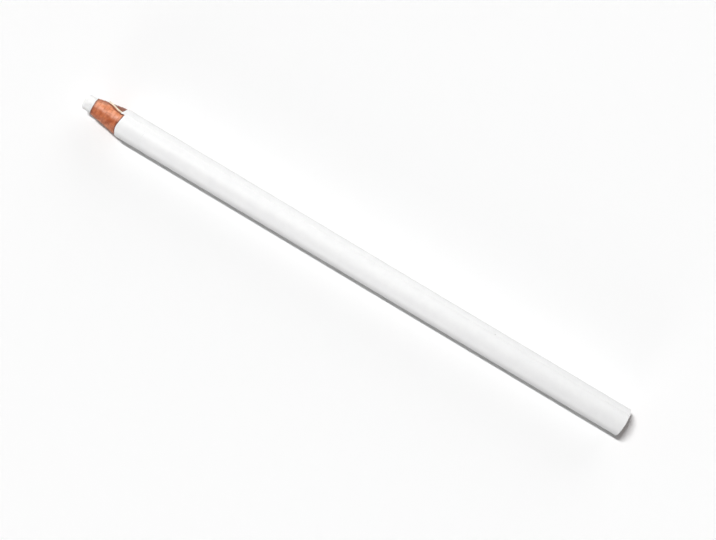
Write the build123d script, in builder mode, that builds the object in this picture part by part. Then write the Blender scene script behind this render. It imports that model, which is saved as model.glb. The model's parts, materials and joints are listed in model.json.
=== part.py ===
from build123d import *
from math import atan2, cos, radians, sin
import os

# China marker: a wax core in a wound paper wrap that is peeled away strip by strip.
# It is modelled along X, writing tip at x = 0 and pull string on top, and laid on the table at the end.
# Sizes are in millimetres and degrees.

# Whole pencil
overall_length = 170.0
barrel_diameter = 8.2

# Wax core
core_diameter = 4.4
core_exposed = 2.6
tip_rounding = 0.6

# Paper wrap, slit on a slant so that each strip ends in a stepped nose
nose_length = 8.1
paper_turns = 7
strip_pitch = 8.0
stepped_strips = 2
inner_strip_sides = 24
seam_flat = 0.06

# Cover paper and the ridge that the string raises in it
cover_thickness = 0.12
ridge_height = 0.2
ridge_blend = 0.8

# Pull string and its free tail
string_diameter = 0.55
string_roll = 33.0
exit_reach = 0.3
tail_rise = 1.5
tail_length = 4.3
tail_drift = 14.0
tail_bend = 4.0

# Clearances
core_clearance = 0.05
cover_clearance = 0.01
string_clearance = 0.01
groove_clearance = 0.05
tail_clearance = 0.05
slit_width = 0.05

# Worked out from the sizes above
barrel_radius = barrel_diameter / 2
core_radius = core_diameter / 2
string_radius = string_diameter / 2
wrap_bore = core_radius + core_clearance
cover_bore = barrel_radius - cover_thickness
wrap_radius = cover_bore - cover_clearance
turn_thickness = (wrap_radius - wrap_bore) / paper_turns
turn_advance = nose_length / paper_turns
cover_front = core_exposed + nose_length
strip_width = strip_pitch - slit_width
strip_count = round((overall_length - cover_front) / strip_pitch)
ridge_radius = string_radius + string_clearance + cover_thickness
string_height = barrel_radius + ridge_height - ridge_radius
groove_width = string_diameter + 2 * groove_clearance
tear_line = cover_front + strip_pitch
string_exit = cover_front - exit_reach
string_split = tear_line - exit_reach
tail_pivot = string_exit - slit_width - string_radius
lying = Location((-overall_length / 2, 0, barrel_radius), (-string_roll, 0, 0))

os.makedirs("parts", exist_ok=True)


def save(part, name):
    """Lays a finished piece on the table and writes it."""
    laid = part.moved(lying)
    laid.label = name
    export_step(laid, f"parts/{name}.step")


def edge_trim(x, inner_radius, outer_radius, side):
    """What is cut off along a helical paper edge that starts at x: side -1 lies ahead of it, 1 behind."""
    depth = turn_advance - seam_flat
    with BuildPart() as trim:
        with BuildLine() as edge:
            Helix(
                pitch=turn_advance,
                height=turn_advance,
                radius=(inner_radius + outer_radius) / 2,
                center=(x, 0, 0),
                direction=(1, 0, 0),
                lefthand=True,
            )
        with BuildSketch(Plane(origin=edge.line @ 0, x_dir=(1, 0, 0), z_dir=(0, 1, 0))):
            with Locations((side * depth / 2, 0)):
                Rectangle(depth, 2 * (outer_radius - inner_radius))
        sweep(path=edge.line, is_frenet=True)
    return trim.part


def paper_turn(x, turn, has_stepped_rear):
    """One turn of the wrap, a ring whose edges climb along X by one advance in a full turn."""
    inner_radius = wrap_bore + turn * turn_thickness
    outer_radius = inner_radius + turn_thickness
    front = x + turn * turn_advance
    rear = front + strip_width + turn_advance - seam_flat
    if not has_stepped_rear:
        rear = x + turn_advance + strip_width + nose_length
    with BuildPart() as ring:
        with BuildSketch(Plane.YZ.offset(front + seam_flat)):
            Circle(outer_radius)
            Circle(inner_radius, mode=Mode.SUBTRACT)
        extrude(amount=rear - front - seam_flat)
        add(edge_trim(front, inner_radius, outer_radius, -1), mode=Mode.SUBTRACT)
        if has_stepped_rear:
            add(edge_trim(front + strip_width, inner_radius, outer_radius, 1), mode=Mode.SUBTRACT)
    return ring.part


def string_groove():
    """The channel along the wrap that the string lies in."""
    with BuildPart() as groove:
        with BuildSketch(Plane.YZ):
            with Locations((0, string_height - string_radius - groove_clearance)):
                Rectangle(groove_width, barrel_radius, align=(Align.CENTER, Align.MIN))
        extrude(amount=overall_length)
    return groove.part


def stepped_strip(x, has_stepped_rear):
    """A peel strip with the turns' edges shown, nose rim at x; its rear fits a stepped nose or a plain one."""
    turns = [paper_turn(x, turn, has_stepped_rear) for turn in range(paper_turns)]
    with BuildPart() as strip:
        add(turns)
        if not has_stepped_rear:
            with Locations(Location((x + turn_advance + strip_width, 0, 0), (0, 90, 0))):
                Cone(
                    wrap_bore,
                    wrap_radius,
                    nose_length,
                    align=(Align.CENTER, Align.CENTER, Align.MIN),
                    mode=Mode.SUBTRACT,
                )
        add(groove, mode=Mode.SUBTRACT)
    return strip.part


def nose_bar(length):
    """A many-sided bar from x = 0 on, whose front end slants like a nose."""
    flats = cos(radians(180 / inner_strip_sides))
    slant = atan2((wrap_radius - wrap_bore) * flats, nose_length)
    with BuildPart() as bar:
        with BuildSketch(Plane.YZ):
            RegularPolygon(wrap_radius, inner_strip_sides)
        extrude(amount=length)
        for side in range(inner_strip_sides):
            angle = radians((side + 0.5) * 360 / inner_strip_sides)
            facing = (-sin(slant), cos(slant) * cos(angle), cos(slant) * sin(angle))
            front = (0, wrap_bore * flats * cos(angle), wrap_bore * flats * sin(angle))
            split(bisect_by=Plane(origin=front, z_dir=facing), keep=Keep.BOTTOM)
    return bar.part


def inner_strip(rear_hollow, length):
    """A peel strip inside the barrel from x = 0 on, whose nose nests in the strip ahead of it."""
    with BuildPart() as strip:
        add(nose_bar(length))
        if rear_hollow:
            with Locations((strip_width, 0, 0)):
                add(nose_bar(length), mode=Mode.SUBTRACT)
        with BuildSketch(Plane.YZ):
            RegularPolygon(wrap_bore, inner_strip_sides)
        extrude(amount=length, mode=Mode.SUBTRACT)
        add(groove, mode=Mode.SUBTRACT)
    return strip.part


def cover_sleeve(x, length):
    """A tube of cover paper from x on, drawn tight over the string so that a low ridge runs along it."""
    with BuildPart() as sleeve:
        with BuildSketch(Plane.YZ.offset(x)) as section:
            Circle(barrel_radius)
            with Locations((0, string_height)):
                Circle(ridge_radius)
            fillet(section.vertices().sort_by(Axis.Y)[-2:], ridge_blend)
            Circle(cover_bore, mode=Mode.SUBTRACT)
            with Locations((0, string_height)):
                Circle(ridge_radius - cover_thickness, mode=Mode.SUBTRACT)
        extrude(amount=length)
    return sleeve.part


def string_length(front, rear):
    """A straight length of string under the cover."""
    with BuildPart() as string:
        with BuildSketch(Plane.YZ.offset(front)):
            with Locations((0, string_height)):
                Circle(string_radius)
        extrude(amount=rear - front)
    return string.part


def over_nose(x, angle):
    """Where the string's centre lies when it rests on the nose at x, angle away from the top."""
    paper = wrap_bore + turn_thickness + (x - core_exposed) * (wrap_radius - wrap_bore) / nose_length
    height = min(paper, wrap_radius) + string_radius + tail_clearance
    return (x, height * sin(radians(angle)), height * cos(radians(angle)))


# Wax core, worn round at its writing end
with BuildPart() as wax_core:
    with BuildSketch(Plane.YZ):
        Circle(core_radius)
    extrude(amount=overall_length)
    fillet(wax_core.edges().filter_by(GeomType.CIRCLE).sort_by(Axis.X)[0], tip_rounding)
save(wax_core.part, "wax_core")

# Peel strips, nested one in the next from the tip to the butt
groove = string_groove()
for number in range(stepped_strips):
    strip = stepped_strip(core_exposed + number * strip_pitch, number < stepped_strips - 1)
    save(strip, f"peel_strip_{number + 1:02d}")
nested_strip = inner_strip(True, strip_width + nose_length)
for number in range(stepped_strips, strip_count - 1):
    front = core_exposed + number * strip_pitch + turn_advance
    save(nested_strip.moved(Location((front, 0, 0))), f"peel_strip_{number + 1:02d}")
last_front = core_exposed + (strip_count - 1) * strip_pitch + turn_advance
last_strip = inner_strip(False, overall_length - last_front)
save(last_strip.moved(Location((last_front, 0, 0))), f"peel_strip_{strip_count:02d}")

# Cover over the first strip: a helical front edge that steps at the string, and a square tear line
cover_inner = cover_bore - cover_thickness
cover_outer = barrel_radius + ridge_height + cover_thickness
front_sleeve = cover_sleeve(cover_front + seam_flat, strip_width - seam_flat)
with BuildPart() as front_cover:
    add(front_sleeve)
    add(edge_trim(cover_front, cover_inner, cover_outer, -1), mode=Mode.SUBTRACT)
save(front_cover.part, "front_cover")

# Cover over the rest of the barrel, from the tear line to the butt
save(cover_sleeve(tear_line, overall_length - tear_line), "barrel_cover")

# Pull string along the barrel, and its length over the first strip
save(string_length(string_split, overall_length), "pull_string")
save(string_length(string_exit, string_split - slit_width), "string_front_length")

# Free tail of the string, lying on the nose from where the string comes out of the cover
tail_points = [
    (tail_pivot, 0, string_height),
    over_nose(tail_pivot - tail_rise, 0),
    over_nose(tail_pivot - tail_length, tail_drift),
]
with BuildPart() as string_tail:
    with BuildLine() as tail_path:
        FilletPolyline(*tail_points, radius=tail_bend)
    with BuildSketch(Plane(origin=tail_path.line @ 0, z_dir=tail_path.line % 0)):
        Circle(string_radius)
    sweep(path=tail_path.line)
    with Locations(tail_points[0]):
        Sphere(string_radius)
save(string_tail.part, "string_tail")
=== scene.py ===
# %% [markdown]
# # A peel-off china marker, dressed from its CAD frame
# The pencil is a wax lead in a roll of brown paper, under a white lacquered cover, with a cotton string
# that tears the cover open. The CAD solids give every size and place. This script loads them as a fixed
# frame and models what the eye sees, in metres.

# %% Load the frame
import bpy
import json
import math
import numpy as np
from mathutils import Matrix, Vector, noise


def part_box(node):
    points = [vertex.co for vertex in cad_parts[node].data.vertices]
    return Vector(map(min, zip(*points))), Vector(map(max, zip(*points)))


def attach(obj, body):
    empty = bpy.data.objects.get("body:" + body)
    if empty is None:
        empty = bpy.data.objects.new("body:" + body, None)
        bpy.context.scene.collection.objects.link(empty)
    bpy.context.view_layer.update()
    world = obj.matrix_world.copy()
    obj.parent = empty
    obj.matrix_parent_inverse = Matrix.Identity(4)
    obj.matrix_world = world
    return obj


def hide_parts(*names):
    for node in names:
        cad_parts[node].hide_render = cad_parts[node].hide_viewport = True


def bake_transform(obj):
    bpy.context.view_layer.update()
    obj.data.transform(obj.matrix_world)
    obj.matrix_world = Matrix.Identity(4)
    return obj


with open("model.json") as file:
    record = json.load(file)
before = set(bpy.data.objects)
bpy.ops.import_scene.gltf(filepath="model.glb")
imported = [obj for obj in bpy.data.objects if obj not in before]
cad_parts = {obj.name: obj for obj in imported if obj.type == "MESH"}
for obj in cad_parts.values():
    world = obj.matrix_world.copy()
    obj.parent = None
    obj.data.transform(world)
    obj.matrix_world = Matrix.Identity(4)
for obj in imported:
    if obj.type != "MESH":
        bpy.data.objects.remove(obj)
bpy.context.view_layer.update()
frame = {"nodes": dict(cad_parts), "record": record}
scene = bpy.context.scene
scene.view_settings.view_transform = "Standard"

# %% [markdown]
# ## Sizes and one way to place a point
# Sizes are in millimetres. The main ones are read from the frame, and the finer ones are the CAD's own.
# Almost every piece is a roll around the lead, so a point is easiest to name by how far it is from the
# tip, how far from the axis, and how many turns round from the string. More turns lead to the far side
# first. The string leans to the far side by 33 degrees, and the pencil rests on the floor.

# %% Sizes
MM = 0.001
tip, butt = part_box("wax_core")
mount_sizes = {mount["name"]: mount["dims"] for mount in frame["record"]["mounts"]}


def from_tip(node):
    """How far the front end of a node is from the pencil's tip."""
    return round((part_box(node)[0].x - tip.x) / MM, 2)


LENGTH = round((butt.x - tip.x) / MM, 2)
LEAD_RADIUS = round((butt.y - tip.y) / 2 / MM, 1)
BARREL_RADIUS = mount_sizes["barrel"]["r_mm"]
TEAR_LINE = from_tip("barrel_cover")
STRING_SPLIT = from_tip("pull_string")
STRIP_PITCH = round(from_tip("peel_strip_04") - from_tip("peel_strip_03"), 2)
SLIT = 0.05
STRIP_WIDTH = STRIP_PITCH - SLIT
STRIP_COUNT = 20
COVER_FRONT = TEAR_LINE - STRIP_PITCH
COVER_THICKNESS = 0.12
NOSE_FRONT = 2.6
TURNS = 7
ADVANCE = (COVER_FRONT - NOSE_FRONT) / TURNS
WRAP_BORE = 2.25
WRAP_RADIUS = 3.97
STRING_HEIGHT = 3.895
STRING_LEAN = math.radians(33.0)
ROUND = 2 * math.pi * BARREL_RADIUS
print("pencil", LENGTH, "by", 2 * BARREL_RADIUS, "mm; first tear line at", TEAR_LINE, "mm")


# %% Places on the roll
def roll_points(x, radius, turn):
    """Places in metres of points x mm from the tip, radius mm from the axis, turn turns from the string."""
    angle = 2 * np.pi * turn + STRING_LEAN
    along = (x - LENGTH / 2) * MM
    to_far_side = radius * np.sin(angle) * MM
    height = (BARREL_RADIUS + radius * np.cos(angle)) * MM
    return np.stack([along, to_far_side, height], axis=-1)


def roll_place(x, radius, turn):
    """One such point, as a vector."""
    return Vector(roll_points(np.array(x), np.array(radius), np.array(turn)))


def beside_string(turn):
    """How many turns a place is from the string: above zero on the far side, below on the near side."""
    return np.mod(turn + 0.5, 1.0) - 0.5


def from_string(turn):
    """How far in mm, round the barrel, a turn position is from the string."""
    return np.abs(beside_string(turn)) * ROUND


def ease(value):
    """A smooth step from 0 to 1."""
    value = np.clip(value, 0, 1)
    return value * value * (3 - 2 * value)


def ramp(value, start, end):
    """A smooth step that is 0 at start and 1 at end, which may lie before it."""
    return ease((value - start) / (end - start))


print("round the barrel", round(ROUND, 2), "mm; edges climb", round(ADVANCE, 3), "mm a turn")

# %% [markdown]
# ## Camera
# The photo looks almost straight down, from less than half a metre, with the pencil lying across the
# picture. Both ends bulge outwards, the butt a little more, which gives the distance and puts the camera
# slightly to the tip's side. The camera's axes follow from that place and from the slope of the barrel in
# the picture.

# %% Camera
CAMERA_OVER = Vector((-10, -20, 435))
BARREL_SLOPE = 0.5968
PIXELS_PER_MM = 3.69
FRAME_SHIFT = (0.80, -2.16)
IMAGE_WIDTH = 716
SENSOR_WIDTH = 36
back = CAMERA_OVER.normalized()
level_right = Vector((back.z, 0, -back.x)).normalized()
level_up = back.cross(level_right)
turned = math.atan(BARREL_SLOPE)
right = level_right * math.cos(turned) + level_up * math.sin(turned)
up = back.cross(right)
middle = Vector((0, 0, BARREL_RADIUS)) + right * FRAME_SHIFT[0] + up * FRAME_SHIFT[1]
camera_place = Matrix.Translation((middle + CAMERA_OVER) * MM)
camera_turn = Matrix((right, up, back)).transposed().to_4x4()
bpy.ops.object.select_all(action="DESELECT")
bpy.ops.object.camera_add()
camera = bpy.context.object
camera.name = "camera"
camera.matrix_world = camera_place @ camera_turn
camera.data.sensor_width = SENSOR_WIDTH
camera.data.lens = CAMERA_OVER.length * PIXELS_PER_MM * SENSOR_WIDTH / IMAGE_WIDTH
camera.data.clip_start = 10 * MM
scene.camera = camera
print("lens", round(camera.data.lens, 1), "mm")

# %% [markdown]
# ## Materials: helpers
# Colours are written as the sRGB codes that a picture editor shows. The shader works in linear light, so
# one function converts them. A second small function adds a node, sets it and links it, and every
# material below uses it. The scale of a pattern is worked out from the size of its features.


# %% Colour and node helpers
def linear(code):
    """A linear colour from an sRGB hex code."""
    parts = [int(code[i : i + 2], 16) / 255 for i in (1, 3, 5)]
    return tuple(p / 12.92 if p <= 0.04045 else ((p + 0.055) / 1.055) ** 2.4 for p in parts) + (1.0,)


def add_node(tree, kind, inputs, **settings):
    """One node with its settings; inputs gives each socket a value or the output that feeds it."""
    node = tree.nodes.new(kind)
    for name, value in settings.items():
        setattr(node, name, value)
    for name, value in inputs.items():
        if isinstance(value, bpy.types.NodeSocket):
            tree.links.new(value, node.inputs[name])
        else:
            node.inputs[name].default_value = value
    return node


def new_material(name):
    """An empty node material and its tree."""
    material = bpy.data.materials.new(name)
    material.use_nodes = True
    material.node_tree.nodes.clear()
    return material, material.node_tree


MIX_A, MIX_B, MIX_OUT = 6, 7, 2  # the colour sockets of a Mix node set to RGBA
PER_M = 1 / MM  # Object coordinates are in metres, so a pattern's scale is this over a size in mm

# %% [markdown]
# ## Lacquered cover paper
# The cover is smooth white paper with a satin lacquer. It isn't a dead white: the sheet is a little
# uneven, a few specks are caught in it, and painted shade makes it greyer from the middle towards the
# butt, where the light falls off.
# The lacquer gives a soft broad shine, so the roughness is middling, and a thin coat sits on top. The
# tooth of the paper is finer than a pixel, so it is drawn coarser.

# %% Colour of the cover paper
CLOUD_SIZE = 3.333
BUTT_SHADE_FROM, BUTT_SHADE_TO = 10, 85  # mm behind the middle of the pencil
SPECK_SPACING = 7.692
SPECK_CORE, SPECK_EDGE = 0.03, 0.05  # shares of that spacing
CELLS_WITHOUT_SPECK = 0.45
cover_paper, tree = new_material("lacquered_cover_paper")
place = add_node(tree, "ShaderNodeTexCoord", {}).outputs["Object"]
clouds = add_node(
    tree,
    "ShaderNodeTexNoise",
    {"Vector": place, "Scale": PER_M / CLOUD_SIZE, "Detail": 6.0, "Roughness": 0.72},
)
sheet_tone = add_node(
    tree,
    "ShaderNodeMix",
    {"Factor": clouds.outputs["Fac"], MIX_A: linear("#EDEDEE"), MIX_B: linear("#FAFAF9")},
    data_type="RGBA",
)
from_middle = add_node(tree, "ShaderNodeSeparateXYZ", {"Vector": place})
# painted shade: the cover greys from the middle towards the butt, as the light falls off there
butt_shade = add_node(
    tree,
    "ShaderNodeMapRange",
    {"Value": from_middle.outputs["X"], "From Min": BUTT_SHADE_FROM * MM, "From Max": BUTT_SHADE_TO * MM},
)
butt_shaded_tone = add_node(
    tree,
    "ShaderNodeMix",
    {"Factor": butt_shade.outputs["Result"], MIX_A: sheet_tone.outputs[MIX_OUT], MIX_B: linear("#F5F5F5")},
    data_type="RGBA",
    blend_type="MULTIPLY",
)
speck_cells = add_node(
    tree, "ShaderNodeTexVoronoi", {"Vector": place, "Scale": PER_M / SPECK_SPACING, "Randomness": 1.0}
)
speck_spots = add_node(
    tree,
    "ShaderNodeMapRange",
    {"Value": speck_cells.outputs["Distance"], "From Min": SPECK_EDGE, "From Max": SPECK_CORE},
)
speck_chance = add_node(tree, "ShaderNodeSeparateColor", {"Color": speck_cells.outputs["Color"]})
speck_kept = add_node(
    tree,
    "ShaderNodeMath",
    {0: speck_chance.outputs["Red"], 1: CELLS_WITHOUT_SPECK},
    operation="GREATER_THAN",
)
specks = add_node(
    tree,
    "ShaderNodeMath",
    {0: speck_spots.outputs["Result"], 1: speck_kept.outputs["Value"]},
    operation="MULTIPLY",
)
cover_colour = add_node(
    tree,
    "ShaderNodeMix",
    {"Factor": specks.outputs["Value"], MIX_A: butt_shaded_tone.outputs[MIX_OUT], MIX_B: linear("#B4B1AE")},
    data_type="RGBA",
)
print("specks about", SPECK_SPACING, "mm apart")

# %% Lacquer of the cover paper
GLOSS_PATCH = 2.5
TOOTH_SIZE = 0.4545
gloss_patches = add_node(
    tree, "ShaderNodeTexNoise", {"Vector": place, "Scale": PER_M / GLOSS_PATCH, "Detail": 3.0}
)
cover_gloss = add_node(
    tree, "ShaderNodeMapRange", {"Value": gloss_patches.outputs["Fac"], "To Min": 0.38, "To Max": 0.52}
)
paper_tooth = add_node(
    tree,
    "ShaderNodeTexNoise",
    {"Vector": place, "Scale": PER_M / TOOTH_SIZE, "Detail": 3.0, "Roughness": 0.6},
)
tooth_bump = add_node(
    tree, "ShaderNodeBump", {"Height": paper_tooth.outputs["Fac"], "Strength": 0.25, "Distance": 0.02 * MM}
)
cover_shader = add_node(
    tree,
    "ShaderNodeBsdfPrincipled",
    {
        "Base Color": cover_colour.outputs[MIX_OUT],
        "Roughness": cover_gloss.outputs["Result"],
        "IOR": 1.5,
        "Coat Weight": 0.05,
        "Coat Roughness": 0.3,
        "Normal": tooth_bump.outputs["Normal"],
    },
)
add_node(tree, "ShaderNodeOutputMaterial", {"Surface": cover_shader.outputs["BSDF"]})
print("made", cover_paper.name)

# %% [markdown]
# ## Dyed kraft paper
# The wrap is strong kraft paper, dyed copper-brown. Wax has got into it, so it is mottled and has a
# dull shine, and its fibres run along the strip as it left the paper machine. The pattern has to follow
# the paper round the lead, so each rolled sheet carries four numbers at every point: how far it is along
# the strip and across it, in millimetres, how dark its stains and painted shade make it, and how much
# painted shade darkens a band from its top towards the near side. Attribute nodes read them.

# %% Colour of the kraft paper
KRAFT_FIBRE = (1.429, 0.2222)  # how long and how wide
BLOTCH_SIZE = 1.818
DYE_STOPS = ((0.3, "#B9693E"), (0.5, "#E08C60"), (0.72, "#F4AE8A"))
kraft_paper, tree = new_material("dyed_kraft_paper")
along = add_node(tree, "ShaderNodeAttribute", {}, attribute_name="along_mm")
across = add_node(tree, "ShaderNodeAttribute", {}, attribute_name="across_mm")
on_strip = add_node(tree, "ShaderNodeCombineXYZ", {"X": along.outputs["Fac"], "Y": across.outputs["Fac"]})
fibre_scale = (1 / KRAFT_FIBRE[0], 1 / KRAFT_FIBRE[1], 1.0)
fibre_run = add_node(
    tree, "ShaderNodeMapping", {"Vector": on_strip.outputs["Vector"], "Scale": fibre_scale}
)
fibres = add_node(
    tree,
    "ShaderNodeTexNoise",
    {"Vector": fibre_run.outputs["Vector"], "Scale": 1.0, "Detail": 5.0, "Roughness": 0.7},
)
blotches = add_node(
    tree,
    "ShaderNodeTexNoise",
    {"Vector": on_strip.outputs["Vector"], "Scale": 1 / BLOTCH_SIZE, "Detail": 4.0, "Roughness": 0.62},
)
dye = add_node(tree, "ShaderNodeValToRGB", {"Fac": blotches.outputs["Fac"]})
dye.color_ramp.elements.new(DYE_STOPS[1][0])
for stop, (position, code) in zip(dye.color_ramp.elements, DYE_STOPS):
    stop.position = position
    stop.color = linear(code)
fibre_tone = add_node(
    tree,
    "ShaderNodeMapRange",
    {"Value": fibres.outputs["Fac"], "From Min": 0.3, "From Max": 0.7, "To Min": 0.84, "To Max": 1.12},
)
fibred = add_node(
    tree,
    "ShaderNodeMix",
    {"Factor": 1.0, MIX_A: dye.outputs["Color"], MIX_B: fibre_tone.outputs["Result"]},
    data_type="RGBA",
    blend_type="MULTIPLY",
)
# painted shade: a band of the nose from its top towards the near side is darkened as if turned from the
# light
soaked = add_node(tree, "ShaderNodeAttribute", {}, attribute_name="soaked")
half_shaded = add_node(
    tree,
    "ShaderNodeMix",
    {"Factor": soaked.outputs["Fac"], MIX_A: fibred.outputs[MIX_OUT], MIX_B: linear("#C69C6E")},
    data_type="RGBA",
    blend_type="MULTIPLY",
)
# stains on the rim, cut edges and glue line, together with painted shade and painted shadows on the nose
stain = add_node(tree, "ShaderNodeAttribute", {}, attribute_name="stain")
kraft_colour = add_node(
    tree,
    "ShaderNodeMix",
    {"Factor": stain.outputs["Fac"], MIX_A: half_shaded.outputs[MIX_OUT], MIX_B: linear("#54261C")},
    data_type="RGBA",
)

# %% Shine of the kraft paper
kraft_gloss = add_node(
    tree,
    "ShaderNodeMapRange",
    {"Value": blotches.outputs["Fac"], "From Min": 0.35, "From Max": 0.65, "To Min": 0.58, "To Max": 0.4},
)
fibre_bump = add_node(
    tree, "ShaderNodeBump", {"Height": fibres.outputs["Fac"], "Strength": 0.6, "Distance": 0.05 * MM}
)
kraft_shader = add_node(
    tree,
    "ShaderNodeBsdfPrincipled",
    {
        "Base Color": kraft_colour.outputs[MIX_OUT],
        "Roughness": kraft_gloss.outputs["Result"],
        "Specular IOR Level": 0.5,
        "Normal": fibre_bump.outputs["Normal"],
    },
)
add_node(tree, "ShaderNodeOutputMaterial", {"Surface": kraft_shader.outputs["BSDF"]})
print("made", kraft_paper.name)

# %% [markdown]
# The strips inside the barrel stay as CAD solids, which have no such numbers. They get the same paper
# with a pattern on Object coordinates, so that it is still the right paper wherever one comes to light.

# %% Kraft paper of the inner strips
INNER_BLOTCH = 2.0
inner_kraft, tree = new_material("dyed_kraft_paper_inside")
place = add_node(tree, "ShaderNodeTexCoord", {}).outputs["Object"]
inner_blotches = add_node(
    tree,
    "ShaderNodeTexNoise",
    {"Vector": place, "Scale": PER_M / INNER_BLOTCH, "Detail": 5.0, "Roughness": 0.65},
)
inner_colour = add_node(
    tree,
    "ShaderNodeMix",
    {"Factor": inner_blotches.outputs["Fac"], MIX_A: linear("#A9582F"), MIX_B: linear("#D9875F")},
    data_type="RGBA",
)
inner_bump = add_node(
    tree, "ShaderNodeBump", {"Height": inner_blotches.outputs["Fac"], "Strength": 0.5, "Distance": 0.05 * MM}
)
inner_shader = add_node(
    tree,
    "ShaderNodeBsdfPrincipled",
    {"Base Color": inner_colour.outputs[MIX_OUT], "Roughness": 0.78, "Normal": inner_bump.outputs["Normal"]},
)
add_node(tree, "ShaderNodeOutputMaterial", {"Surface": inner_shader.outputs["BSDF"]})
print("made", inner_kraft.name)

# %% [markdown]
# ## Marking wax
# The lead is pigmented wax, pressed through a die. It is white and a little see-through, so light softens
# in it, and it shines dully where it has been rubbed. The die leaves fine lines along it, and use leaves
# grey smudges.

# %% Marking wax
SMUDGE_SIZE = 1.429
DIE_LINE = (6.667, 0.3333, 0.3333)  # long along the lead, fine round it
marking_wax, tree = new_material("white_marking_wax")
place = add_node(tree, "ShaderNodeTexCoord", {}).outputs["Object"]
smudge_noise = add_node(
    tree,
    "ShaderNodeTexNoise",
    {"Vector": place, "Scale": PER_M / SMUDGE_SIZE, "Detail": 5.0, "Roughness": 0.65},
)
smudge = add_node(
    tree,
    "ShaderNodeMapRange",
    {"Value": smudge_noise.outputs["Fac"], "From Min": 0.52, "From Max": 0.78, "To Min": 0.0, "To Max": 0.7},
)
wax_colour = add_node(
    tree,
    "ShaderNodeMix",
    {"Factor": smudge.outputs["Result"], MIX_A: linear("#F3F3F2"), MIX_B: linear("#D0D2D3")},
    data_type="RGBA",
)
die_scale = [PER_M / size for size in DIE_LINE]
die_run = add_node(tree, "ShaderNodeMapping", {"Vector": place, "Scale": die_scale})
die_lines = add_node(
    tree, "ShaderNodeTexNoise", {"Vector": die_run.outputs["Vector"], "Scale": 1.0, "Detail": 4.0}
)
wax_bump = add_node(
    tree, "ShaderNodeBump", {"Height": die_lines.outputs["Fac"], "Strength": 0.5, "Distance": 0.04 * MM}
)
wax_shader = add_node(
    tree,
    "ShaderNodeBsdfPrincipled",
    {
        "Base Color": wax_colour.outputs[MIX_OUT],
        "Roughness": 0.42,
        "IOR": 1.44,
        "Subsurface Weight": 0.15,
        "Subsurface Radius": (0.8 * MM, 0.8 * MM, 0.7 * MM),
        "Subsurface Scale": 1.0,
        "Normal": wax_bump.outputs["Normal"],
    },
)
add_node(tree, "ShaderNodeOutputMaterial", {"Surface": wax_shader.outputs["BSDF"]})
print("made", marking_wax.name)

# %% [markdown]
# ## Cotton string
# The string is undyed cotton, spun and then twisted from three plies. It is matt and cream, and loose
# fibres give it a soft edge, which a little sheen stands for. The plies themselves are modelled, so the
# material only adds fibres.

# %% Cotton string
LINT_SIZE = 0.1667
cotton, tree = new_material("undyed_cotton_string")
place = add_node(tree, "ShaderNodeTexCoord", {}).outputs["Object"]
lint = add_node(
    tree,
    "ShaderNodeTexNoise",
    {"Vector": place, "Scale": PER_M / LINT_SIZE, "Detail": 4.0, "Roughness": 0.7},
)
cotton_colour = add_node(
    tree,
    "ShaderNodeMix",
    {"Factor": lint.outputs["Fac"], MIX_A: linear("#E6D8BB"), MIX_B: linear("#FAF3E2")},
    data_type="RGBA",
)
lint_bump = add_node(
    tree, "ShaderNodeBump", {"Height": lint.outputs["Fac"], "Strength": 0.5, "Distance": 0.03 * MM}
)
cotton_shader = add_node(
    tree,
    "ShaderNodeBsdfPrincipled",
    {
        "Base Color": cotton_colour.outputs[MIX_OUT],
        "Roughness": 0.9,
        "Sheen Weight": 0.3,
        "Sheen Roughness": 0.5,
        "Normal": lint_bump.outputs["Normal"],
    },
)
add_node(tree, "ShaderNodeOutputMaterial", {"Surface": cotton_shader.outputs["BSDF"]})
print("made", cotton.name)

# %% [markdown]
# ## Modelling helpers
# An operator acts on whatever is selected, so each step starts by deselecting everything. A modifier is
# added, set and applied in one go. At the end a piece gets its material and its finish slot, says which
# CAD node it stands for, and rides on the body that carries it, unless it has to bend between two bodies.


# %% Modelling helpers
def only(piece):
    """Makes piece the one selected and active object."""
    bpy.ops.object.select_all(action="DESELECT")
    piece.select_set(True)
    bpy.context.view_layer.objects.active = piece


def apply_modifier(piece, kind, **settings):
    """Adds a modifier with its settings and applies it."""
    only(piece)
    modifier = piece.modifiers.new(kind.lower(), kind)
    for name, value in settings.items():
        setattr(modifier, name, value)
    bpy.ops.object.modifier_apply(modifier=modifier.name)


def clean_up(piece, merge, fill=False, outwards=True):
    """Merges points less than merge mm apart; can fill open ends and turn all faces outwards."""
    only(piece)
    bpy.ops.object.mode_set(mode="EDIT")
    bpy.ops.mesh.select_all(action="SELECT")
    bpy.ops.mesh.remove_doubles(threshold=merge * MM)
    if fill:
        bpy.ops.mesh.fill_holes(sides=0)
    if outwards:
        bpy.ops.mesh.normals_make_consistent(inside=False)
    bpy.ops.object.mode_set(mode="OBJECT")


def hand_over(piece, material, node, body, sharp=35):
    """Finishes a piece: shading, material, slot, the node it replaces and the body it rides on."""
    only(piece)
    bpy.ops.object.shade_smooth_by_angle(angle=math.radians(sharp))
    piece.data.materials.clear()
    piece.data.materials.append(material)
    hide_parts(node)
    if body:
        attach(piece, body)
    print(piece.name, "faces", len(piece.data.polygons), "stands for", node)


# %% [markdown]
# ## Sheets of paper
# All the paper on the pencil starts flat. A grid is the flat sheet, and a few lines of trigonometry roll
# it up, because Blender's Bend needs a window. The same function gives every point the numbers that its
# material reads. Faces of a rolled sheet have to look away from the lead, so they are flipped if they
# don't. Two kinds of seeded noise, along an edge and all round the roll, keep the paper from looking
# machined.


# %% Rolling a sheet
def flat_sheet(name, columns, rows):
    """A flat grid one metre square; columns run along the strip and rows across it."""
    bpy.ops.object.select_all(action="DESELECT")
    bpy.ops.mesh.primitive_grid_add(x_subdivisions=columns, y_subdivisions=rows, size=1)
    sheet = bpy.context.object
    sheet.name = sheet.data.name = name
    return sheet


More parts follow.
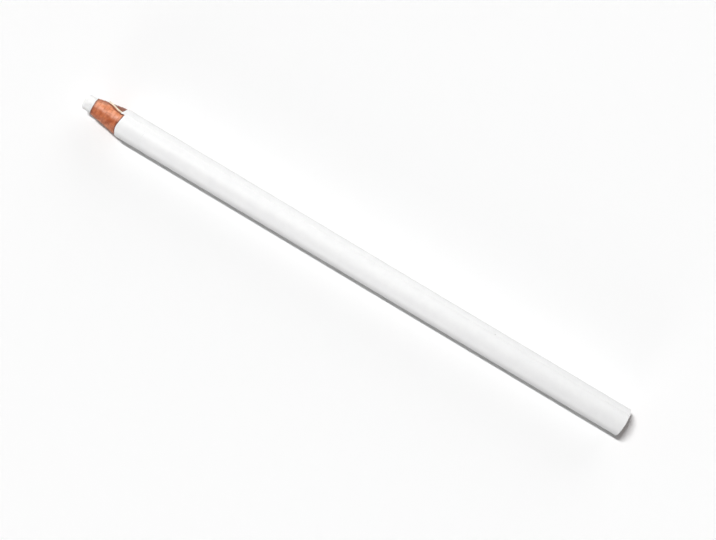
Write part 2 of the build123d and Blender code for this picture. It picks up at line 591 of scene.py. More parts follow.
def sheet_places(sheet):
    """How far along and across the flat sheet each point lies, from 0 to 1."""
    flat = np.empty(len(sheet.data.vertices) * 3)
    sheet.data.vertices.foreach_get("co", flat)
    flat = flat.reshape(-1, 3)
    return np.round(flat[:, 0] + 0.5, 6), np.round(flat[:, 1] + 0.5, 6)


def roll_sheet(sheet, x, radius, turn, **marks):
    """Moves each point of a flat sheet to its place on the roll and gives it numbers for its material."""
    sheet.data.vertices.foreach_set("co", roll_points(x, radius, turn).ravel())
    for name, values in marks.items():
        mark = sheet.data.attributes.new(name, "FLOAT", "POINT")
        mark.data.foreach_set("value", values)
    sheet.data.update()
    face = sheet.data.polygons[0]
    outwards = Vector((0, face.center.y, face.center.z - BARREL_RADIUS * MM))
    if face.normal.dot(outwards) < 0:
        only(sheet)
        bpy.ops.object.mode_set(mode="EDIT")
        bpy.ops.mesh.select_all(action="SELECT")
        bpy.ops.mesh.flip_normals()
        bpy.ops.object.mode_set(mode="OBJECT")


# %% Noise on paper
SEED_SPACING = 7.31
OFF_LATTICE = 0.5  # the noise is always zero at whole numbers


def edge_noise(turn, step, seed):
    """Smooth seeded noise from -1 to 1 along an edge, with features about step turns long."""
    return np.array([noise.noise((value / step, seed * SEED_SPACING, OFF_LATTICE)) for value in turn])


def roll_noise(x, turn, length, reach, seed=0.0):
    """Smooth noise from -1 to 1 on the roll, with features length mm long, narrower with more reach."""
    angle = 2 * np.pi * turn
    places = zip(x / length, reach * np.sin(angle) + seed, reach * np.cos(angle))
    return np.array([noise.noise(place) for place in places])


# %% [markdown]
# ## The edges of the paper
# A few formulas say how the paper was cut and torn, for any turn round the roll. The cover's front edge
# points forward over the string, slants back on the far side within a fifth of a turn, runs round the
# roll and reaches forward a little on the near side. Beside the string it ends in a step, a torn edge
# that leans to the string. The rim of the nose is cut square. From there the edge of the wrap climbs with
# the turns, and on the far side of the second turn it steps back.

# %% The edges of the paper
SEAM = -0.7 / ROUND
EDGE_SLANT = 0.2
SLANT_BOW = 0.8
NEAR_REACH = 0.6
NEAR_REACH_MIDDLE, NEAR_REACH_WIDTH = 0.857, 0.1  # turns past the seam
TORN_LEAN = (0.2, 0.42)
LEAN_FADES = 2
RIM_SET_BACK = 0.4
FAR_STEP = 0.6
FAR_STEP_STARTS, FAR_STEP_ENDS = (1, 1.15), (1.75, 1.25)


def past_seam(turn):
    """How many turns a place is past the cover's seam, from 0 to 1."""
    return np.mod(turn - SEAM, 1.0)


def near_reach(turn):
    """How far forward the cover's front edge reaches on the near side."""
    past = past_seam(turn)
    reach = NEAR_REACH * np.exp(-(((past - NEAR_REACH_MIDDLE) / NEAR_REACH_WIDTH) ** 2))
    return np.where(past > 0.5, reach, 0)


def cover_edge(turn):
    """Where the cover's front edge is: it points forward at the string, slants back, then runs round."""
    slanted = np.clip(past_seam(turn) / EDGE_SLANT, 0, 1) ** SLANT_BOW
    return COVER_FRONT + ADVANCE * slanted - near_reach(turn)


def torn_seam(x):
    """Where the torn edge beside the string is, in turns: it leans to the string as it runs back."""
    torn = np.clip((x - COVER_FRONT) / ADVANCE, 0, 1)
    faded = ease((x - COVER_FRONT - ADVANCE) / LEAN_FADES)
    lean = TORN_LEAN[0] + (TORN_LEAN[1] - TORN_LEAN[0]) * torn
    return SEAM + lean * (1 - faded) / ROUND


def nose_edge(turn):
    """How far back the front edge is, in advances: square at the rim, a far-side step, then climbing."""
    held_back = np.where(turn < 1, turn - RIM_SET_BACK, (1 - RIM_SET_BACK) * ramp(turn, 3, 1))
    step_back = FAR_STEP * ramp(turn, *FAR_STEP_STARTS) * ramp(turn, *FAR_STEP_ENDS)
    return turn - held_back + step_back


print("cover's front edge", np.round(cover_edge(np.array([0, 0.5])), 2), "mm, at the string and opposite")

# %% [markdown]
# ## Where the nose is dark
# Wear and painted shade are set by place, as numbers that the kraft paper's Attribute nodes read. A strip
# is dark at its rim, along its cut edge and in the line of glue at the cover. Painted shade darkens it
# underneath and on the near side, in ragged patches, and it is darker on the far flank too. Each place
# below is in turns from the string, or in millimetres along the nose.

# %% Stains and painted shade of a strip
PATCH_LENGTH, PATCH_REACH = 1.6, 2.2
RIM_STAIN = 0.92
RIM_STAIN_WIDTH, RIM_STAIN_WIDER = 0.4, 0.34
FAR_SIDE_STARTS, FAR_SIDE_ENDS = (-0.02, 0.08), (0.35, 0.25)
RAGGED_SHARE, RAGGED_MOTTLE, RAGGED_SEED = 0.85, 0.5, 9.1
UNDERSIDE_SHADE, NEAR_LIMB_SHADE = 0.5, 0.35
NEAR_SHADE_STARTS, NEAR_SHADE_GROWS = (-0.25, -0.33), (-0.5, -0.34)
FLANK_DARKENING = 0.62
FLANK_STARTS, FLANK_LEAN, FLANK_BLEND = 0.02, 0.04, 0.05
FLANK_LEAN_SPAN = (4.9, 2.9)
CUT_STAIN, CUT_STAIN_WIDTH = 0.28, 0.12
GLUE_STAIN, GLUE_AHEAD = 0.95, 0.1
GLUE_LINE = (0.392, 0.112)


def edge_stain_and_shade(x, turn, across, front, cover_front):
    """How dark a strip is: rim, cut edge, glue line at the cover, painted shade below and a darker far
    flank.
    """
    beside = beside_string(turn)
    from_rim = x - front - RIM_SET_BACK * ADVANCE
    far_side = ramp(beside, *FAR_SIDE_STARTS) * ramp(beside, *FAR_SIDE_ENDS)
    rim = RIM_STAIN * np.exp(-((from_rim / (RIM_STAIN_WIDTH + RIM_STAIN_WIDER * far_side)) ** 2))
    mottle = roll_noise(x, turn, PATCH_LENGTH, PATCH_REACH, RAGGED_SEED)
    ragged_share = np.clip(RAGGED_SHARE + RAGGED_MOTTLE * mottle, 0, 1)
    # painted shade: the underside and the near limb of the nose are darkened as if out of the light
    near_shade_depth = UNDERSIDE_SHADE + NEAR_LIMB_SHADE * ramp(beside, *NEAR_SHADE_GROWS)
    near_limb_shade = near_shade_depth * ramp(beside, *NEAR_SHADE_STARTS) * ragged_share
    flank = FLANK_STARTS - FLANK_LEAN * ramp(x - front, *FLANK_LEAN_SPAN)
    far_flank = FLANK_DARKENING * ease((beside - flank) / FLANK_BLEND) * ragged_share
    cut = CUT_STAIN * np.exp(-across / CUT_STAIN_WIDTH)
    glue = GLUE_STAIN * ramp(np.abs(cover_front - GLUE_AHEAD - x), *GLUE_LINE)
    return np.maximum.reduce([rim, near_limb_shade, far_flank, cut, glue])


# %% [markdown]
# The first strip also carries the string's tail. Beside the cover's torn edge the paper carries a painted
# shadow of the step, and along the near side of the tail a line of painted shadow from the string.
# Beyond the tail it is darker too, and painted shade darkens a ragged band from the nose's top towards the
# near side. The tail's line is a short list of points, each named like any point on the roll.

# %% The tail's line, its painted shadows and the paper around it
TAIL_LINE = np.array(
    [
        (11.2, 3.895, 0.0),
        (10.5, 3.895, 0.0),
        (9.6, 3.93, 0.006),
        (8.4, 3.82, 0.03),
        (7.3, 3.57, 0.06),
        (6.3, 3.34, 0.088),
    ]
)
TAIL_START, TAIL_END = TAIL_LINE[0, 0], TAIL_LINE[-1, 0]
NOSE_RADIUS = 3.5
# painted shadows of the cover's torn step and of the tail, and darker paper beyond the tail
SEAM_SHADOW, SEAM_SHADOW_BEFORE = 0.9, 0.12
SEAM_SHADOW_LINE, SEAM_SHADOW_BEGINS = (0.28, 0.08), (-0.3, 0)
TAIL_SHADOW, TAIL_SHADOW_BEFORE, TAIL_SHADOW_WIDTH = 0.9, 0.32, 0.26
TAIL_SHADOW_BEGINS = (-0.2, 0.4)
BEYOND_TAIL = 0.78
BEYOND_TAIL_STARTS, BEYOND_TAIL_ENDS, BEYOND_TAIL_BEGINS = (0.1, 0.4), (3.6, 2.1), (6.0, 7.5)
# painted shade on a ragged band of the nose, from its top towards the near side
HALF_SHADE, HALF_SHADE_MOTTLE, HALF_SHADE_SEED = 0.9, 0.5, 4.7
HALF_SHADE_MIDDLE, HALF_SHADE_WANDER = -0.175, 0.03
HALF_SHADE_BAND, HALF_SHADE_BEGINS = (0.12, 0.045), (-0.2, 0.6)
print("tail from", TAIL_START, "to", TAIL_END, "mm behind the tip")


def string_shade_and_marks(x, turn):
    """How dark the first strip is: painted shadows of the cover's step and of the tail, and darker paper
    beyond it.
    """
    beside = beside_string(turn)
    from_seam = (beside - torn_seam(x)) * ROUND
    # painted shadow of the cover's torn step, on the near side of the seam
    seam = SEAM_SHADOW * ramp(np.abs(from_seam + SEAM_SHADOW_BEFORE), *SEAM_SHADOW_LINE)
    seam = seam * ramp(x - COVER_FRONT, *SEAM_SHADOW_BEGINS)
    line_turn = np.interp(x, TAIL_LINE[::-1, 0], TAIL_LINE[::-1, 2])
    from_tail = (beside - line_turn) * 2 * np.pi * NOSE_RADIUS
    # painted shadow of the string's tail, along its near side
    shade = TAIL_SHADOW * np.exp(-(((from_tail + TAIL_SHADOW_BEFORE) / TAIL_SHADOW_WIDTH) ** 2))
    shade = shade * ramp(x - TAIL_END, *TAIL_SHADOW_BEGINS)
    # darker paper beyond the tail, on its far side
    beyond_tail = BEYOND_TAIL * ramp(from_tail, *BEYOND_TAIL_STARTS) * ramp(from_tail, *BEYOND_TAIL_ENDS) * ramp(x, *BEYOND_TAIL_BEGINS)
    return np.maximum.reduce([seam, shade, beyond_tail])


def painted_near_half_shade(x, turn, front):
    """How much painted shade darkens a strip: a ragged band beside the string, from the top towards the near
    side.
    """
    ragged = roll_noise(x, turn, PATCH_LENGTH, PATCH_REACH, HALF_SHADE_SEED)
    from_patch = np.abs(beside_string(turn) - HALF_SHADE_MIDDLE + HALF_SHADE_WANDER * ragged)
    shade_share = ramp(from_patch, *HALF_SHADE_BAND) * ramp(x - front, *HALF_SHADE_BEGINS)
    return shade_share * np.clip(HALF_SHADE + HALF_SHADE_MOTTLE * ragged, 0, 1)


# %% [markdown]
# ## The wound wrap
# One peel strip is a long ribbon of kraft paper, cut on a slant, wound seven times round the lead. Each
# turn starts a little further back than the one under it, and that makes the stepped nose. Stacked rings
# would show closed circles, so the ribbon is really wound: its radius grows and its edge climbs with
# every turn. The slanted cut feathers the front edge, so the paper is thin there and thickens behind it,
# which a vertex group tells Solidify. The string presses a channel into the roll: one smooth formula
# moves every layer inwards, the outer ones most, so that no gap opens between them. The nose's edges are
# a little ragged and lifted.

# %% Layers of the wrap
WRAP_WALL = WRAP_RADIUS - WRAP_BORE
PAPER = 0.205
FEATHER = 0.45
LEAST_PAPER = 0.02
LAYER_GAP = 0.012
CHANNEL_WIDTH = 0.45
FRAY_STEP, COARSE_FRAY_STEP, COARSE_FRAY = 0.016, 0.05, 0.6
NICK_STEP, NICK_LEAST = 0.09, 0.35
FRAY_DEPTH, NICK_DEPTH, WORN_WIDTH = 0.07, 0.3, 0.6
LIFT_STEP, LIFT_HEIGHT, LIFT_WIDTH = 0.13, 0.05, 0.9
print("wall of the wrap", round(WRAP_WALL, 2), "mm")


def worn_back(turn, across, seed):
    """How far the front edge is frayed and nicked back."""
    fray = edge_noise(turn, FRAY_STEP, seed) + COARSE_FRAY * edge_noise(turn, COARSE_FRAY_STEP, seed + 1)
    nick = np.clip(edge_noise(turn, NICK_STEP, seed + 2) - NICK_LEAST, 0, 1)
    depth = FRAY_DEPTH * np.clip(fray, 0, 2) + NICK_DEPTH * nick
    return depth * ease(1 - across / WORN_WIDTH)


def lifted(turn, across, seed):
    """How far the front edge stands off the turn below it."""
    height = LIFT_HEIGHT * np.clip(edge_noise(turn, LIFT_STEP, seed), 0, 1)
    return height * ease(1 - across / LIFT_WIDTH)


def loose_layer(turn, across, lift):
    """Inner and outer radius of a wound ribbon with a feathered front edge."""
    inner = WRAP_BORE + WRAP_WALL / (TURNS + 1) * turn + lift
    return inner, inner + PAPER * (FEATHER + (1 - FEATHER) * ease(across / ADVANCE))


def tight_layer(turn):
    """Inner and outer radius of a ribbon that starts and ends thin and fills the wall of the roll."""
    inner = WRAP_BORE + WRAP_WALL / (TURNS - 1) * np.maximum(0, turn - 1)
    outer = np.minimum(WRAP_BORE + WRAP_WALL / (TURNS - 1) * turn, WRAP_RADIUS)
    return inner, np.maximum(outer - LAYER_GAP, inner + LEAST_PAPER)


def pressed(radius, turn, depth):
    """A radius in the roll after the string has pressed its channel, depth deep at the outside."""
    outer_share = np.clip((radius - WRAP_BORE) / WRAP_WALL, 0, 1)
    return radius - depth * np.exp(-((from_string(turn) / CHANNEL_WIDTH) ** 2)) * outer_share**2


# %% Winding a strip
COLUMNS_PER_TURN = 110
ROWS_ACROSS = 14
ROWS_CROWD = 1.8  # rows lie closer together at the front edge
ENDS_SHORT = 0.016


def wound_strip(name, front, covered_from, rear=None, holds_tail=False, worn=1.0, channel=0.2, seed=1):
    """A wound peel strip whose nose starts at front; covered_from gives the cover's edge over each turn.

    rear is a square-sawn end of a tight roll, or else the strip ends on the slant as it begins.
    """
    sheet = flat_sheet(name, TURNS * COLUMNS_PER_TURN, ROWS_ACROSS)
    u, v = sheet_places(sheet)
    turn = u * (TURNS - ENDS_SHORT)
    slant = front + turn * ADVANCE
    edge = front + nose_edge(turn) * ADVANCE if rear is None else slant
    rear_edge = slant + STRIP_WIDTH if rear is None else rear
    across = (rear_edge - edge) * v**ROWS_CROWD
    x = edge + across + worn * worn_back(turn, across, seed)
    if rear is None:
        inner, outer = loose_layer(turn, across, worn * lifted(turn, across, seed + 3))
    else:
        inner, outer = tight_layer(turn)
    inner, outer = pressed(inner, turn, channel), pressed(outer, turn, channel)
    stain = edge_stain_and_shade(x, turn, across, front, covered_from(turn))
    if holds_tail:
        stain = np.maximum(stain, string_shade_and_marks(x, turn))
    soaked = painted_near_half_shade(x, turn, front)
    along = turn * 2 * np.pi * inner
    roll_sheet(sheet, x, inner, turn, along_mm=along, across_mm=across, stain=stain, soaked=soaked)
    thickness = sheet.vertex_groups.new(name="thickness")
    for index, weight in enumerate((outer - inner) / WRAP_WALL):
        thickness.add([index], float(weight), "REPLACE")
    apply_modifier(
        sheet,
        "SOLIDIFY",
        thickness=WRAP_WALL * MM,
        offset=1,
        use_even_offset=False,
        vertex_group="thickness",
    )
    return sheet


def under_tear_line(turn):
    """The edge of the cover over the strips behind the first."""
    return TEAR_LINE


# %% The two wraps at the nose
second_front = NOSE_FRONT + STRIP_PITCH
nose_wrap = wound_strip("nose_wrap", NOSE_FRONT, cover_edge, holds_tail=True, seed=3)
hand_over(nose_wrap, kraft_paper, "peel_strip_01", "front_strip")
second_wrap = wound_strip("second_wrap", second_front, under_tear_line, worn=0.35, seed=11)
hand_over(second_wrap, kraft_paper, "peel_strip_02", "barrel")

# %% [markdown]
# The last strip shows only at the butt, where the whole roll was sawn off square. There the spiral of the
# layers is seen end on around the lead, so this strip is the same ribbon with a straight end. It is
# rolled tight: the ribbon starts and ends thin, so that the roll is round inside and outside and fills
# the space between lead and cover. The strips between stay as CAD solids.

# %% The wrap at the butt
butt_front = NOSE_FRONT + (STRIP_COUNT - 1) * STRIP_PITCH
butt_wrap = wound_strip(
    "butt_wrap", butt_front, under_tear_line, rear=LENGTH, worn=0.0, channel=0.38, seed=23
)
hand_over(butt_wrap, kraft_paper, "peel_strip_20", "barrel")
for number in range(3, STRIP_COUNT):
    inner_strip = frame["nodes"][f"peel_strip_{number:02d}"]
    inner_strip.data.materials.clear()
    inner_strip.data.materials.append(inner_kraft)

# %% [markdown]
# ## The cover
# The white cover is one sheet, drawn tight round the roll and over the string, so the string stands out
# as a low ridge with a faint dip at each foot. It is rolled from a grid too, with its seam on the near
# side of the ridge, where its points are merged. Columns are closer together near the ridge, and near the
# front the seam leans with the torn edge. At the sawn butt the sheet has come a little loose, so the
# ridge is sharper there. The part over the first strip tears off with it, so the sheet is two pieces that
# meet at a tear line.

# %% Shape of the cover
COVER_SLACK = 0.012
UNEVEN_LENGTH, UNEVEN_REACH = 11, 3
RIDGE_HEIGHT, RIDGE_WIDTH = 0.2, 0.32
FOOT_DEPTH, FOOT_PLACE, FOOT_WIDTH = 0.012, 0.8, 0.25
LOOSE_END, LOOSE_RIDGE, LOOSE_FOOT = 9.0, 0.05, 0.03
FAR_COLUMNS = 131
ridge_columns = np.array([0, 0.06, 0.12, 0.18, 0.24, 0.3, 0.36, 0.43, 0.52, 0.64, 0.8, 1.0]) / ROUND
near_columns = -ridge_columns[::-1][ridge_columns[::-1] < -SEAM]
far_columns = np.linspace(ridge_columns[-1], 1 + SEAM, FAR_COLUMNS)[1:]
cover_columns = np.concatenate([[SEAM], near_columns[:-1], ridge_columns, far_columns])


def cover_radius(x, turn):
    """Radius of the cover's outer face: round, with the string's ridge and a faint unevenness."""
    uneven = COVER_SLACK * roll_noise(x, turn, UNEVEN_LENGTH, UNEVEN_REACH)
    loose = ease((x - LENGTH + LOOSE_END) / LOOSE_END)
    ridge = (RIDGE_HEIGHT + LOOSE_RIDGE * loose) * np.exp(-((from_string(turn) / RIDGE_WIDTH) ** 2))
    from_foot = (from_string(turn) - FOOT_PLACE) / FOOT_WIDTH
    foot = (FOOT_DEPTH + LOOSE_FOOT * loose) * np.exp(-(from_foot**2))
    return BARREL_RADIUS - COVER_SLACK + uneven + ridge - foot


print("columns round the cover", len(cover_columns))

# %% Rolling the cover
LEAN_REACH = 2.2
STRAIGHT_FROM = COVER_FRONT + 2.2
LAST_STRETCH, JUST_BEFORE = 0.9, 1e-6
CUT_FRAY, CUT_FRAY_STEP, CUT_SEED = 0.05, 0.03, 31
TEAR_GAP = 0.02


def rolled_cover(name, rows, place):
    """A tube of cover paper; place gives each point's distance from the tip, from its turn and row."""
    last_column = len(cover_columns) - 1
    sheet = flat_sheet(name, last_column, rows)
    u, v = sheet_places(sheet)
    turn = np.interp(u * last_column, np.arange(last_column + 1), cover_columns)
    x = place(turn, v)
    from_seam = from_string(turn - SEAM)
    turn = turn + (torn_seam(x) - SEAM) * ease(1 - from_seam / LEAN_REACH)
    roll_sheet(sheet, x, cover_radius(x, turn), turn)
    clean_up(sheet, merge=0.0005, outwards=False)
    apply_modifier(sheet, "SOLIDIFY", thickness=COVER_THICKNESS * MM, offset=-1)
    return sheet


def front_cover_place(turn, v):
    """From the front edge to the tear line: half of the rows follow the edge, and the others run square."""
    edge = cover_edge(np.where(turn > LAST_STRETCH, turn - JUST_BEFORE, turn))
    edge = edge + CUT_FRAY * np.clip(edge_noise(turn, CUT_FRAY_STEP, CUT_SEED), 0, 1)
    behind_edge = edge + (STRAIGHT_FROM - edge) * 2 * v
    straight = STRAIGHT_FROM + (TEAR_LINE - TEAR_GAP - STRAIGHT_FROM) * (2 * v - 1)
    return np.where(v < 0.5, behind_edge, straight)


def barrel_cover_place(turn, v):
    """From the tear line to the butt."""
    return TEAR_LINE + (LENGTH - TEAR_LINE) * v


front_cover = rolled_cover("front_cover_paper", 16, front_cover_place)
hand_over(front_cover, cover_paper, "front_cover", "front_strip")
barrel_cover = rolled_cover("barrel_cover_paper", 80, barrel_cover_place)
hand_over(barrel_cover, cover_paper, "barrel_cover", "barrel")

# %% [markdown]
# ## The wax lead
# The lead is a plain rod that runs from the tip to the butt, and only its ends show. A cylinder is the
# start. Bisect cuts rings into its front stretch, and insets divide its end face, close together at the
# rim. The rings are then moved back to round the rim off. A used tip is blunt, a little slanted and
# uneven, so seeded noise and a slant move the points a bit more.

# %% The lead's rod
LEAD_SIDES = 72
RING_COUNT, FIRST_RING, RING_STEP = 15, 1.3, 0.7
TIP_RINGS = (0.03, 0.06, 0.09, 0.12, 0.15, 0.2, 0.3, 0.4, 0.4)
bpy.ops.object.select_all(action="DESELECT")
bpy.ops.mesh.primitive_cylinder_add(
    vertices=LEAD_SIDES,
    radius=LEAD_RADIUS * MM,
    depth=LENGTH * MM,
    end_fill_type="NGON",
    location=(0, 0, BARREL_RADIUS * MM),
    rotation=(0, math.pi / 2, 0),
)
lead = bpy.context.object
lead.name = lead.data.name = "wax_lead"
bpy.ops.object.transform_apply(location=True, rotation=True, scale=True)
bpy.ops.object.mode_set(mode="EDIT")
for ring in range(RING_COUNT):
    ring_x = FIRST_RING + ring * RING_STEP - LENGTH / 2
    bpy.ops.mesh.select_all(action="SELECT")
    bpy.ops.mesh.bisect(plane_co=(ring_x * MM, 0, 0), plane_no=(1, 0, 0))
bpy.ops.mesh.select_mode(type="FACE")
bpy.ops.object.mode_set(mode="OBJECT")
end_x = -LENGTH / 2 * MM + 1e-6
for face in lead.data.polygons:
    face.select = face.center.x < end_x
bpy.ops.object.mode_set(mode="EDIT")
for width in TIP_RINGS:
    bpy.ops.mesh.inset(thickness=width * MM, depth=0)
bpy.ops.object.mode_set(mode="OBJECT")
print("rings on the tip", len(TIP_RINGS))

# %% The worn tip
WORN_LENGTH = 11
GRAIN_PER_MM = 1.3
TIP_ROUNDING = 0.7
TIP_CROWN, TIP_SLANT, TIP_GRAIN = 0.1, 0.1, 0.05
SLANT_WAY = (0.6, -0.4)
SIDE_GRAIN = 0.012
TAPER, TAPER_LENGTH = 0.02, 1.6


def worn_end(y, z, grain):
    """How far behind the tip the end face lies at a point y and z mm from the lead's axis."""
    from_axis = math.hypot(y, z)
    past_flat = max(0, from_axis - LEAD_RADIUS + TIP_ROUNDING)
    rounded = TIP_ROUNDING - math.sqrt(max(0, TIP_ROUNDING**2 - past_flat**2))
    slant = 1 + (SLANT_WAY[0] * y + SLANT_WAY[1] * z) / LEAD_RADIUS
    crown = TIP_CROWN * (from_axis / LEAD_RADIUS) ** 2
    return rounded + crown + TIP_SLANT * slant + TIP_GRAIN * (1 + grain)


for vertex in lead.data.vertices:
    along_lead = vertex.co.x / MM + LENGTH / 2
    if along_lead > WORN_LENGTH:
        continue
    y, z = vertex.co.y / MM, vertex.co.z / MM - BARREL_RADIUS
    grain = noise.noise((along_lead * GRAIN_PER_MM, y * GRAIN_PER_MM, z * GRAIN_PER_MM))
    if vertex.co.x < end_x:
        along_lead += worn_end(y, z, grain)
    shrink = 1 - SIDE_GRAIN * max(0, grain) - TAPER * max(0, 1 - along_lead / TAPER_LENGTH) ** 2
    vertex.co = ((along_lead - LENGTH / 2) * MM, y * shrink * MM, (z * shrink + BARREL_RADIUS) * MM)
clean_up(lead, merge=0.0005)
hand_over(lead, marking_wax, "wax_core", "barrel", sharp=50)

# %% [markdown]
# ## The string
# The string is three twisted plies. Three small circles stand round the string's axis, and a Screw
# modifier carries them along it while it turns them, as a twisting machine does. Under the cover the
# string is straight.

# %% Twisted string
PLIES = 3
PLY_SIDES = 8
PLY_RADIUS = 0.12
PLY_OFFSET = 0.125
LAY_LENGTH = 1.5
STEPS_PER_LAY = 12


def twisted_string(name, length):
    """A straight three-ply string along X from the origin."""
    bpy.ops.object.select_all(action="DESELECT")
    plies = []
    for ply in range(PLIES):
        angle = ply * 2 * math.pi / PLIES
        bpy.ops.mesh.primitive_circle_add(
            vertices=PLY_SIDES,
            radius=PLY_RADIUS * MM,
            location=(0, PLY_OFFSET * math.sin(angle) * MM, PLY_OFFSET * math.cos(angle) * MM),
            rotation=(0, math.pi / 2, 0),
        )
        plies.append(bpy.context.object)
    for ply in plies:
        ply.select_set(True)
    bpy.ops.object.join()
    string = bpy.context.object
    bpy.ops.object.transform_apply(location=True, rotation=True, scale=True)
    string.name = string.data.name = name
    lays = max(2, round(length / LAY_LENGTH))
    apply_modifier(
        string,
        "SCREW",
        axis="X",
        angle=2 * math.pi,
        screw_offset=length / lays * MM,
        iterations=lays,
        steps=STEPS_PER_LAY,
        render_steps=STEPS_PER_LAY,
        use_merge_vertices=False,
    )
    clean_up(string, merge=0.001, fill=True)
    return string


def string_run(name, front, rear):
    """A straight length of string in its place under the cover."""
    string = twisted_string(name, rear - front)
    string.location = roll_place(front, STRING_HEIGHT, 0.0)
    only(string)
    bpy.ops.object.transform_apply(location=True, rotation=True, scale=True)
    return string


# %% The string under the cover
BUTT_GAP = 0.02
barrel_string = string_run("barrel_string", STRING_SPLIT, LENGTH - BUTT_GAP)
hand_over(barrel_string, cotton, "pull_string", "barrel", sharp=60)
front_string = string_run("front_string", TAIL_START + SLIT, STRING_SPLIT - SLIT)
hand_over(front_string, cotton, "string_front_length", "front_strip", sharp=60)

# %% [markdown]
# ## The free tail
# The tail is the same string, laid along its line on the nose with a Curve modifier: it lies on the paper
# and drifts to the far side. The last stretch of the plies opens, and fine loose fibres stick out there
# and along it: each is a short curve with a bevel.


# %% A NURBS line
def nurbs_line(points):
    """A curve object with one open NURBS line, shaped by control points in metres."""
    bpy.ops.object.select_all(action="DESELECT")
    bpy.ops.curve.primitive_nurbs_path_add()
    curve = bpy.context.object
    curve.data.splines.clear()
    line = curve.data.splines.new("NURBS")
    line.points.add(len(points) - 1)
    for control, point in zip(line.points, points):
        control.co = (*point, 1)
    line.order_u = 3
    line.use_endpoint_u = True
    return curve


# %% Loose fibres
TAIL_LENGTH = 5.45
FIBRE_RADIUS = 0.012
FIBRES, END_FIBRES = 26, 16
END_FIBRE_ROOT, SIDE_FIBRE_ROOT = (0.05, 0.3), (1.2, TAIL_LENGTH - 0.5)
END_FIBRE_OFFSET, SIDE_FIBRE_OFFSET = 0.2, 0.22
FIBRE_SPREAD, FIBRE_LENGTH = (0.2, 0.6), (0.25, 0.6)


def loose_fibre(start, heading, length):
    """A thin curved fibre that leaves start along the string and bends towards heading."""
    points = []
    for share in (0, 1 / 3, 2 / 3, 1):
        forward = Vector((1, 0, 0)) * length * share * (1 - 0.5 * share)
        points.append((start + forward + heading * length * share**2) * MM)
    fibre = nurbs_line(points)
    fibre.data.bevel_depth = FIBRE_RADIUS * MM
    fibre.data.bevel_resolution = 1
    fibre.data.resolution_u = 3
    fibre.data.use_fill_caps = True
    bpy.ops.object.convert(target="MESH")
    return bpy.context.object


draw = np.random.default_rng(5)
fibres_on_tail = []
for number in range(FIBRES):
    angle = draw.uniform(0, 2 * math.pi)
    outwards = Vector((0, math.sin(angle), math.cos(angle)))
    at_end = number < END_FIBRES
    root = TAIL_LENGTH - draw.uniform(*END_FIBRE_ROOT) if at_end else draw.uniform(*SIDE_FIBRE_ROOT)
    start = Vector((root, 0, 0)) + outwards * (END_FIBRE_OFFSET if at_end else SIDE_FIBRE_OFFSET)
    heading = outwards * draw.uniform(*FIBRE_SPREAD)
    fibres_on_tail.append(loose_fibre(start, heading, draw.uniform(*FIBRE_LENGTH)))
print("fibres", len(fibres_on_tail))

# %% The free tail
FRAY_LENGTH, FRAY_OPENS = 0.9, 0.35
route = nurbs_line([roll_place(*point) for point in TAIL_LINE])
route.data.twist_mode = "MINIMUM"
tail = twisted_string("string_tail_end", TAIL_LENGTH)
for vertex in tail.data.vertices:
    into_fray = max(0, vertex.co.x / MM - TAIL_LENGTH + FRAY_LENGTH) / FRAY_LENGTH
    opened = 1 + FRAY_OPENS * into_fray
    vertex.co.y *= opened
    vertex.co.z *= opened
only(tail)
for fibre in fibres_on_tail:
    fibre.select_set(True)
bpy.ops.object.join()
apply_modifier(tail, "CURVE", object=route, deform_axis="POS_X")
bpy.data.objects.remove(route)
hand_over(tail, cotton, "string_tail", None, sharp=60)
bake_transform(tail)

# %% [markdown]
# ## Floor and light
# The pencil lies on a plain white surface under a high strip of light that runs along it, from above to
# the tip's side, in a pale room. A row of suns stands for the strip: it gives a thin, sharp shadow along
# the barrel and a long, soft one behind the butt. Two low broad lights fill the far and the near side.
# The light is kept at the level where a white card renders white. The floor and the room look white to
# the camera and in reflections, and send less light back to the pencil, so that its sides keep their
# shading.


# %% Rays that are looked at
def seen_rays(tree):
    """An output that is 1 for rays from the camera, in reflections and through glass, and 0 for others."""
    rays = add_node(tree, "ShaderNodeLightPath", {})
    seen = rays.outputs["Is Camera Ray"]
    for kind in ("Is Glossy Ray", "Is Transmission Ray"):
        either = add_node(tree, "ShaderNodeMath", {0: seen, 1: rays.outputs[kind]}, operation="MAXIMUM")
        seen = either.outputs["Value"]
    return seen


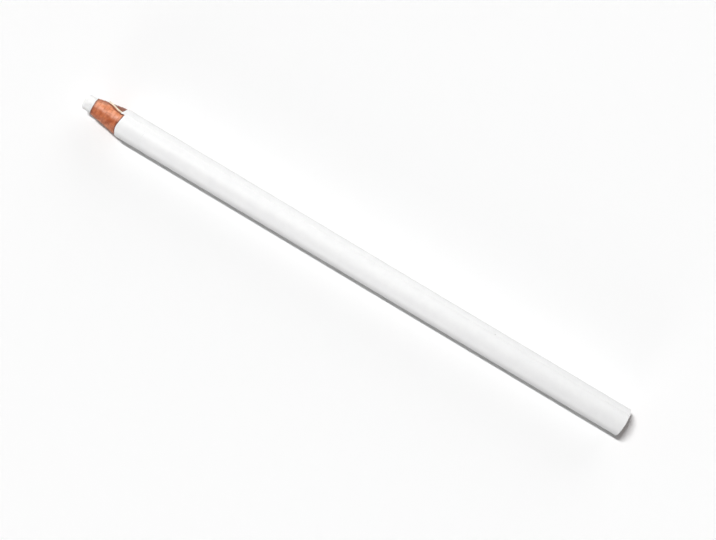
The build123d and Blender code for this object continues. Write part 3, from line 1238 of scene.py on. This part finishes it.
# %% Floor
FLOOR_SIZE = 4
FLOOR_GLOW = 0.02
bpy.ops.object.select_all(action="DESELECT")
bpy.ops.mesh.primitive_plane_add(size=FLOOR_SIZE)
floor = bpy.context.object
floor.name = "floor"
floor_white, tree = new_material("plain_white_floor")
seen = seen_rays(tree)
floor_colour = add_node(
    tree,
    "ShaderNodeMix",
    {"Factor": seen, MIX_A: linear("#BEBEBE"), MIX_B: linear("#FBFBFB")},
    data_type="RGBA",
)
floor_diffuse = add_node(tree, "ShaderNodeBsdfDiffuse", {"Color": floor_colour.outputs[MIX_OUT]})
glow_level = add_node(tree, "ShaderNodeMath", {0: seen, 1: FLOOR_GLOW}, operation="MULTIPLY")
floor_glow = add_node(
    tree, "ShaderNodeEmission", {"Color": linear("#FFFFFF"), "Strength": glow_level.outputs["Value"]}
)
floor_both = add_node(
    tree, "ShaderNodeAddShader", {0: floor_diffuse.outputs["BSDF"], 1: floor_glow.outputs["Emission"]}
)
add_node(tree, "ShaderNodeOutputMaterial", {"Surface": floor_both.outputs["Shader"]})
floor.data.materials.append(floor_white)
print("floor", FLOOR_SIZE, "m wide")

# %% Light
KEY_LIGHT = 2.77
KEY_TILTS = (-0.6, -0.5, -0.42, -0.34)
KEY_LEAN = 0.16
KEY_SPREAD = 4
SIDE_FILLS = (("far_side_fill", 1.2, 50, (0, 1, 0.12)), ("near_side_fill", 1.0, 25, (0, -1, 0.08)))
ROOM_LIGHT, ROOM_SEEN = 0.11, 1.0


def add_sun(name, energy, spread, towards):
    """A sun that stands towards a direction and looks spread degrees wide."""
    bpy.ops.object.light_add(type="SUN")
    lamp = bpy.context.object
    lamp.name = name
    lamp.data.energy = energy
    lamp.data.angle = math.radians(spread)
    lamp.rotation_euler = Vector(towards).to_track_quat("Z", "Y").to_euler()


for number, tilt in enumerate(KEY_TILTS):
    add_sun(f"high_strip_light_{number}", KEY_LIGHT / len(KEY_TILTS), KEY_SPREAD, (tilt, KEY_LEAN, 1))
for name, energy, spread, towards in SIDE_FILLS:
    add_sun(name, energy, spread, towards)
room = bpy.data.worlds.new("pale_room")
room.use_nodes = True
tree = room.node_tree
tree.nodes.clear()
room_level = add_node(
    tree, "ShaderNodeMapRange", {"Value": seen_rays(tree), "To Min": ROOM_LIGHT, "To Max": ROOM_SEEN}
)
room_light = add_node(
    tree, "ShaderNodeBackground", {"Color": linear("#FFFFFF"), "Strength": room_level.outputs["Result"]}
)
add_node(tree, "ShaderNodeOutputWorld", {"Surface": room_light.outputs["Background"]})
scene.world = room
print("suns", len(KEY_TILTS) + len(SIDE_FILLS))
